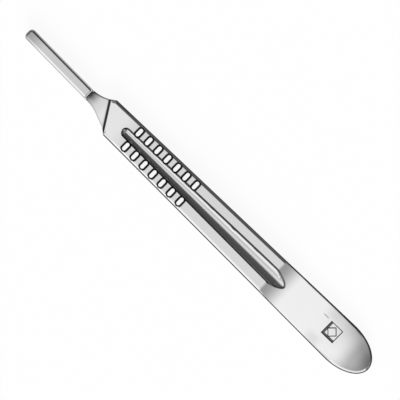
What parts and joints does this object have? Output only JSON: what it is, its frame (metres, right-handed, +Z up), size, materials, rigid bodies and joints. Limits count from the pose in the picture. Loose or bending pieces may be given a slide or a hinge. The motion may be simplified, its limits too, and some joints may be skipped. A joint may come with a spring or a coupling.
{
  "type": "scalpel handle",
  "caption": "Flat forged steel scalpel handle with a ribbed, grooved grip, a rounded thin tail and a slotted lug that a detachable blade slides onto.",
  "frame": {"origin": "on the surface that the handle lies on, under the middle of its length and width", "axes": "+X along the handle from the blade fitting to the rounded tail, +Y across it, +Z up through its thickness towards the face with the blade fitting's lug"},
  "size_m": [0.135, 0.0126, 0.0046],
  "materials": {
    "satin_steel": "satin stainless steel, finely polished flats and rounded edges"
  },
  "bodies": {
    "root": {"scalpel_handle": "satin_steel"}
  },
  "joints": []
}
